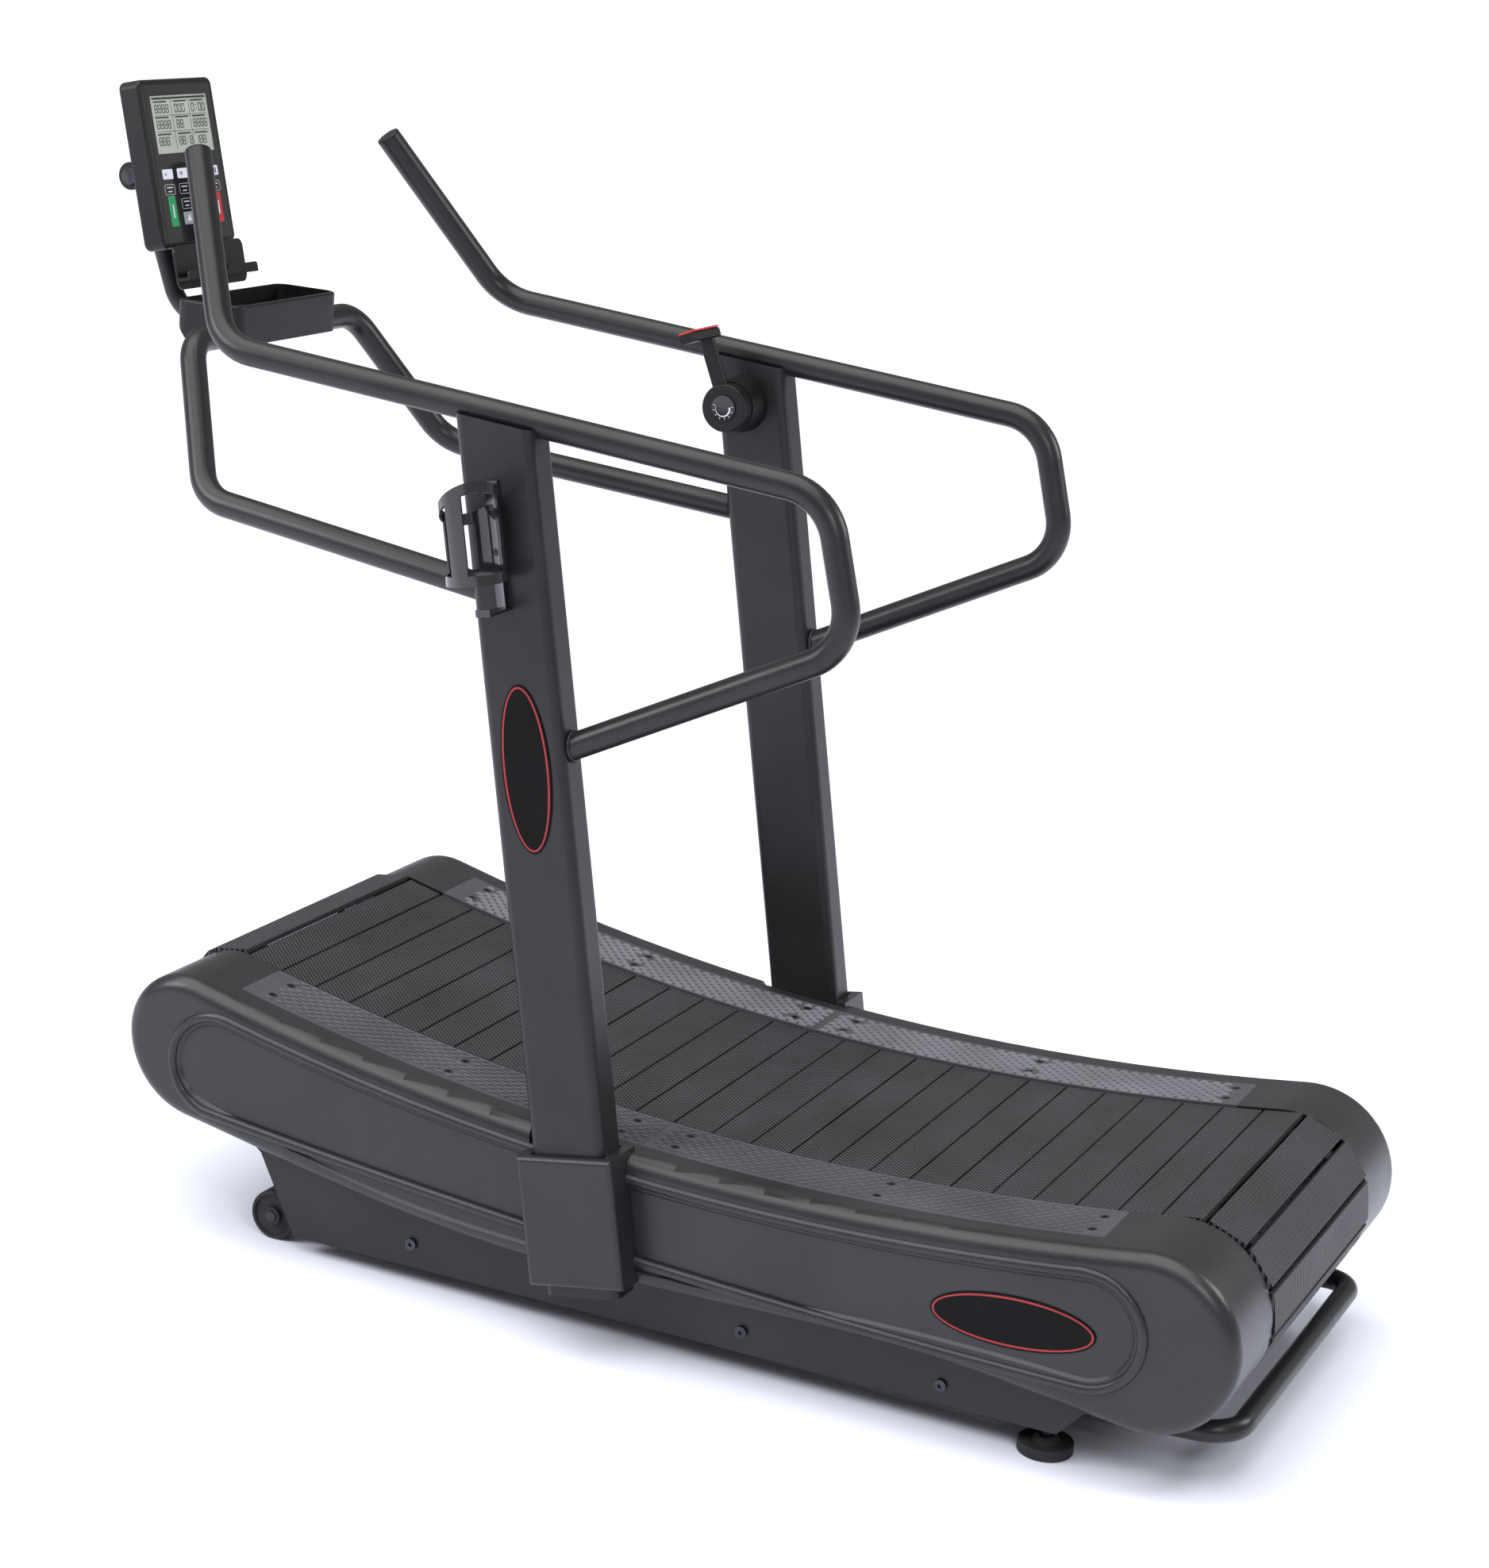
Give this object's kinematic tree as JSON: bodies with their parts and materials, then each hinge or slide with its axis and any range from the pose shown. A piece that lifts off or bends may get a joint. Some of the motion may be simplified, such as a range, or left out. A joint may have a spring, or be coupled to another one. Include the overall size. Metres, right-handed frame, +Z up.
{
  "type": "curved manual treadmill",
  "caption": "Curved manual treadmill with slatted tread, lever brake, handrails, tilting console, phone holder, bottle cage and tray.",
  "frame": {"origin": "on the floor under the middle of the base, on the tread's centre plane", "axes": "+X forward, towards the console; +Y towards the runner's left; +Z up"},
  "size_m": [2.0506, 0.961, 1.6576],
  "materials": {
    "dark_paint": "satin powder coat",
    "zinc_steel": "plain",
    "axle_steel": "ground",
    "slat_rubber": "ribbed",
    "belt_rubber": "matt",
    "pulley_aluminium": "turned",
    "cover_plastic": "fine grain",
    "rail_plastic": "anti-slip pattern",
    "black_plastic": "fine grain",
    "gloss_black": "polished",
    "display_glass": "display",
    "key_white": "smooth",
    "key_green": "smooth",
    "key_red": "smooth",
    "key_grey": "smooth",
    "insert_red": "smooth",
    "brake_iron": "turned"
  },
  "bodies": {
    "frame": {"axle_bearings": "brake_iron", "badges": "black_plastic", "bottle_cage": "gloss_black", "brake_bracket": "zinc_steel", "brake_cable": "black_plastic", "console_post": "dark_paint", "cross_members": "dark_paint", "deck_rollers": "belt_rubber", "foot_nuts": "zinc_steel", "foot_rail_left": "rail_plastic", "foot_rail_right": "rail_plastic", "frame_bolts": "zinc_steel", "front_loop": "dark_paint", "handrail_left": "dark_paint", "handrail_right": "dark_paint", "lever_base": "black_plastic", "lever_dial": "black_plastic", "rail_end_caps": "black_plastic", "screws": "zinc_steel", "rear_handle": "dark_paint", "ribbed_belt": "belt_rubber", "roller_bars": "zinc_steel", "side_cover_left": "cover_plastic", "side_cover_right": "cover_plastic", "side_frame_left": "dark_paint", "side_frame_right": "dark_paint", "slats": "slat_rubber", "toothed_belts": "belt_rubber", "upright_boots": "black_plastic", "upright_left": "dark_paint", "upright_right": "dark_paint", "utility_tray": "black_plastic", "wheel_axles": "zinc_steel", "hinge_bolt": "zinc_steel"},
    "front_drum": {"front_axle": "axle_steel", "front_pulleys": "pulley_aluminium", "drive_pulley": "pulley_aluminium"},
    "rear_drum": {"rear_axle": "axle_steel", "rear_pulleys": "pulley_aluminium"},
    "flywheel": {"flywheel": "brake_iron"},
    "brake_caliper": {"brake_caliper": "brake_iron"},
    "lever": {"lever_arm": "black_plastic", "lever_grip": "black_plastic", "lever_grip_insert": "insert_red"},
    "console": {"console_rear_shell": "black_plastic", "console_front_panel": "gloss_black", "console_display": "display_glass", "phone_holder": "black_plastic"},
    "wheel_left": {"wheel_left": "belt_rubber"},
    "wheel_right": {"wheel_right": "belt_rubber"},
    "foot_left": {"foot_left": "belt_rubber"},
    "foot_right": {"foot_right": "belt_rubber"},
    "key_quick_1": {"key_quick_1": "key_white"},
    "key_quick_2": {"key_quick_2": "key_white"},
    "key_quick_3": {"key_quick_3": "key_white"},
    "key_quick_4": {"key_quick_4": "key_white"},
    "key_start": {"key_start": "key_green"},
    "key_up": {"key_up": "key_grey"},
    "key_down": {"key_down": "key_grey"},
    "key_stop": {"key_stop": "key_red"}
  },
  "joints": [
    {"name": "front_drum_spin", "type": "hinge", "parent": "frame", "child": "front_drum", "pos_m": [0.779, 0, 0.31541], "axis": [0, 1, 0], "continuous": true},
    {"name": "rear_drum_spin", "type": "hinge", "parent": "frame", "child": "rear_drum", "pos_m": [-0.746, 0, 0.22445], "axis": [0, 1, 0], "continuous": true},
    {"name": "flywheel_spin", "type": "hinge", "parent": "frame", "child": "flywheel", "pos_m": [0.56, -0.311, 0.268], "axis": [0, 1, 0], "continuous": true},
    {"name": "resistance_lever", "type": "hinge", "parent": "frame", "child": "lever", "pos_m": [0.295, -0.318, 1.234], "axis": [0, -1, 0], "range_deg": [0, 80]},
    {"name": "brake_caliper_swing", "type": "hinge", "parent": "frame", "child": "brake_caliper", "pos_m": [0.47, -0.325, 0.192], "axis": [0, -1, 0], "range_deg": [0, 8]},
    {"name": "console_tilt", "type": "hinge", "parent": "frame", "child": "console", "pos_m": [1.158, 0, 1.508], "axis": [0, -1, 0], "range_deg": [-5, 8]},
    {"name": "wheel_left_spin", "type": "hinge", "parent": "frame", "child": "wheel_left", "pos_m": [0.636, 0.32, 0.038], "axis": [0, 1, 0], "continuous": true},
    {"name": "foot_left_height", "type": "slide", "parent": "frame", "child": "foot_left", "axis": [0, 0, 1], "range_m": [0, 0.01]},
    {"name": "wheel_right_spin", "type": "hinge", "parent": "frame", "child": "wheel_right", "pos_m": [0.636, -0.32, 0.038], "axis": [0, 1, 0], "continuous": true},
    {"name": "foot_right_height", "type": "slide", "parent": "frame", "child": "foot_right", "axis": [0, 0, 1], "range_m": [0, 0.01]},
    {"name": "key_quick_1_press", "type": "slide", "parent": "console", "child": "key_quick_1", "axis": [0.9724, 0, -0.2334], "range_m": [0, 0.0015], "stiffness_N_per_m": 400},
    {"name": "key_quick_2_press", "type": "slide", "parent": "console", "child": "key_quick_2", "axis": [0.9724, 0, -0.2334], "range_m": [0, 0.0015], "stiffness_N_per_m": 400},
    {"name": "key_quick_3_press", "type": "slide", "parent": "console", "child": "key_quick_3", "axis": [0.9724, 0, -0.2334], "range_m": [0, 0.0015], "stiffness_N_per_m": 400},
    {"name": "key_quick_4_press", "type": "slide", "parent": "console", "child": "key_quick_4", "axis": [0.9724, 0, -0.2334], "range_m": [0, 0.0015], "stiffness_N_per_m": 400},
    {"name": "key_start_press", "type": "slide", "parent": "console", "child": "key_start", "axis": [0.9724, 0, -0.2334], "range_m": [0, 0.0015], "stiffness_N_per_m": 400},
    {"name": "key_up_press", "type": "slide", "parent": "console", "child": "key_up", "axis": [0.9724, 0, -0.2334], "range_m": [0, 0.0015], "stiffness_N_per_m": 400},
    {"name": "key_down_press", "type": "slide", "parent": "console", "child": "key_down", "axis": [0.9724, 0, -0.2334], "range_m": [0, 0.0015], "stiffness_N_per_m": 400},
    {"name": "key_stop_press", "type": "slide", "parent": "console", "child": "key_stop", "axis": [0.9724, 0, -0.2334], "range_m": [0, 0.0015], "stiffness_N_per_m": 400}
  ],
  "couplings": [
    {"joint": "rear_drum_spin", "follows": "front_drum_spin", "ratio": 0.67826},
    {"joint": "flywheel_spin", "follows": "front_drum_spin", "ratio": 2.7273},
    {"joint": "brake_caliper_swing", "follows": "resistance_lever", "ratio": 0.1}
  ]
}
